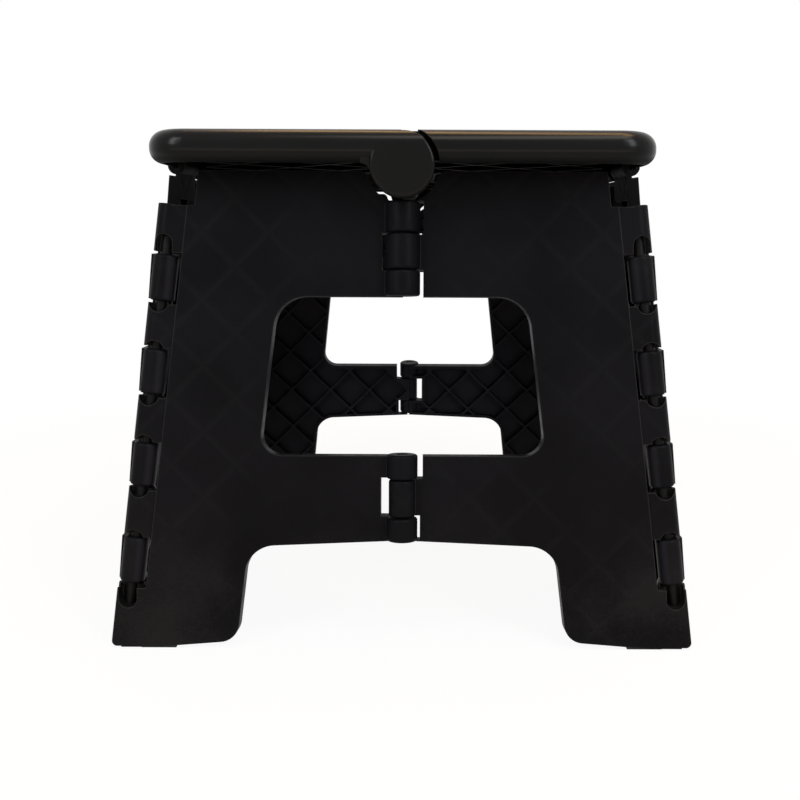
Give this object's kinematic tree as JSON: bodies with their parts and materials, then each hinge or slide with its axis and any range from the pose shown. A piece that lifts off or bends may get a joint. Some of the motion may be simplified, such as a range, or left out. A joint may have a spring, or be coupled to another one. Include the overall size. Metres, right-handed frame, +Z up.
{
  "type": "folding step stool",
  "caption": "Folding step stool of moulded plastic: hinged seat halves, side panels and hinged end panels that fold flat together, with a carry slot and soft foot pads.",
  "frame": {"origin": "on the floor under the middle of the seat", "axes": "+Z up; X across the seat, the short way, with the two seat halves at -X and +X; -Y is the end in the picture"},
  "size_m": [0.2702, 0.3032, 0.2311],
  "materials": {
    "seat_plastic": "satin black moulded plastic with a rounded rim",
    "panel_plastic": "satin black moulded plastic",
    "pin_steel": "black coated steel rod",
    "soft_pad": "matt soft rubber",
    "grip_dot": "matt soft rubber"
  },
  "bodies": {
    "side_left": {"side_panel_left": "panel_plastic", "corner_pin_front_left": "pin_steel", "corner_pin_back_left": "pin_steel", "seat_pin_left": "pin_steel", "foot_pads_side_left": "soft_pad"},
    "front_left": {"front_panel_left": "panel_plastic", "centre_pin_front_upper": "pin_steel", "centre_pin_front_lower": "pin_steel", "foot_pad_front_left": "soft_pad"},
    "front_right": {"front_panel_right": "panel_plastic", "foot_pad_front_right": "soft_pad"},
    "side_right": {"side_panel_right": "panel_plastic", "corner_pin_front_right": "pin_steel", "corner_pin_back_right": "pin_steel", "seat_pin_right": "pin_steel", "foot_pads_side_right": "soft_pad"},
    "back_left": {"back_panel_left": "panel_plastic", "foot_pad_back_left": "soft_pad"},
    "back_right": {"back_panel_right": "panel_plastic", "centre_pin_back_upper": "pin_steel", "centre_pin_back_lower": "pin_steel", "foot_pad_back_right": "soft_pad"},
    "seat_left": {"seat_left": "seat_plastic", "seat_centre_pin": "pin_steel", "grip_dots_left": "grip_dot"},
    "seat_right": {"seat_right": "seat_plastic", "grip_dots_right": "grip_dot"}
  },
  "joints": [
    {"name": "front_left_corner", "type": "hinge", "parent": "side_left", "child": "front_left", "pos_m": [-0.11623, -0.131, 0.1], "axis": [0.1219, 0.1183, 0.9855], "range_deg": [0, 90.34]},
    {"name": "front_centre", "type": "hinge", "parent": "front_left", "child": "front_right", "pos_m": [0, -0.13852, 0.1], "axis": [0, -0.127, -0.9919], "range_deg": [0, 179.03]},
    {"name": "front_right_corner", "type": "hinge", "parent": "front_right", "child": "side_right", "pos_m": [0.11623, -0.131, 0.1], "axis": [-0.1219, 0.1183, 0.9855], "range_deg": [0, 90.36]},
    {"name": "back_left_corner", "type": "hinge", "parent": "side_left", "child": "back_left", "pos_m": [-0.11623, 0.131, 0.1], "axis": [-0.1219, 0.1183, -0.9855], "range_deg": [0, 90.36]},
    {"name": "back_right_corner", "type": "hinge", "parent": "side_right", "child": "back_right", "pos_m": [0.11623, 0.131, 0.1], "axis": [-0.1219, -0.1183, 0.9855], "range_deg": [0, 90.36]},
    {"name": "seat_left_hinge", "type": "hinge", "parent": "side_left", "child": "seat_left", "pos_m": [-0.1052, 0, 0.2177], "axis": [0, -1, 0], "range_deg": [0, 78.45]},
    {"name": "seat_right_hinge", "type": "hinge", "parent": "side_right", "child": "seat_right", "pos_m": [0.1052, 0, 0.2177], "axis": [0, 1, 0], "range_deg": [0, 78.45]}
  ],
  "couplings": [
    {"joint": "front_centre", "follows": "front_left_corner", "ratio": 1.9815},
    {"joint": "front_right_corner", "follows": "front_left_corner", "ratio": 1},
    {"joint": "back_left_corner", "follows": "front_left_corner", "ratio": 1},
    {"joint": "back_right_corner", "follows": "front_left_corner", "ratio": 1},
    {"joint": "seat_left_hinge", "follows": "front_left_corner", "ratio": 0.86822},
    {"joint": "seat_right_hinge", "follows": "front_left_corner", "ratio": 0.86822}
  ]
}
